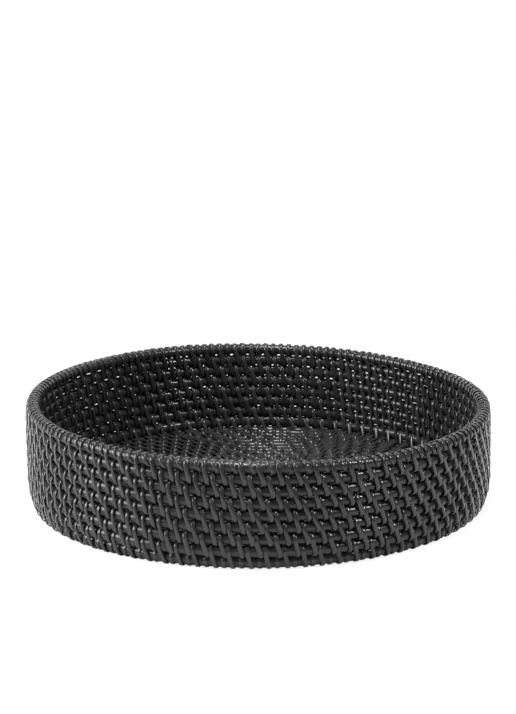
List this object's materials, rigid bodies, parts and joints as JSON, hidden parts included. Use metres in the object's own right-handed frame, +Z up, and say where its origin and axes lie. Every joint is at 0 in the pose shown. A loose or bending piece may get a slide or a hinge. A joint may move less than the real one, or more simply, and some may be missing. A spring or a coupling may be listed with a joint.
{
  "type": "woven fruit basket",
  "caption": "Round low basket for fruit, open at the top: cane hoops stacked into an upright wall and a flat base, bound together with slanting stitches of flat rattan peel.",
  "frame": {"origin": "middle of the underside, on the surface that the basket stands on", "axes": "+Z up along the basket's axis; X and Y lie in the base, and the basket is the same all round but for its stitches"},
  "size_m": [0.3, 0.3, 0.067],
  "materials": {
    "cane": "black-stained satin cane with fine lengthwise grain",
    "peel": "black-stained glossy rattan peel"
  },
  "bodies": {
    "root": {"base_rod_01": "cane", "base_rod_02": "cane", "base_rod_03": "cane", "base_rod_04": "cane", "base_rod_05": "cane", "base_rod_06": "cane", "base_rod_07": "cane", "base_rod_08": "cane", "base_rod_09": "cane", "base_rod_10": "cane", "base_rod_11": "cane", "base_rod_12": "cane", "base_rod_13": "cane", "base_rod_14": "cane", "base_rod_15": "cane", "base_rod_16": "cane", "base_rod_17": "cane", "base_rod_18": "cane", "base_stitches_1": "peel", "base_stitches_2": "peel", "base_stitches_3": "peel", "base_stitches_4": "peel", "base_stitches_5": "peel", "foot_stitches": "peel", "rim_rod": "cane", "rim_wraps": "peel", "wall_rod_1": "cane", "wall_rod_2": "cane", "wall_rod_3": "cane", "wall_rod_4": "cane", "wall_rod_5": "cane", "wall_rod_6": "cane", "wall_rod_7": "cane", "wall_rod_8": "cane", "wall_stitches_1": "peel", "wall_stitches_2": "peel", "wall_stitches_3": "peel", "wall_stitches_4": "peel", "wall_stitches_5": "peel", "wall_stitches_6": "peel", "wall_stitches_7": "peel", "wall_stitches_8": "peel"}
  },
  "joints": []
}
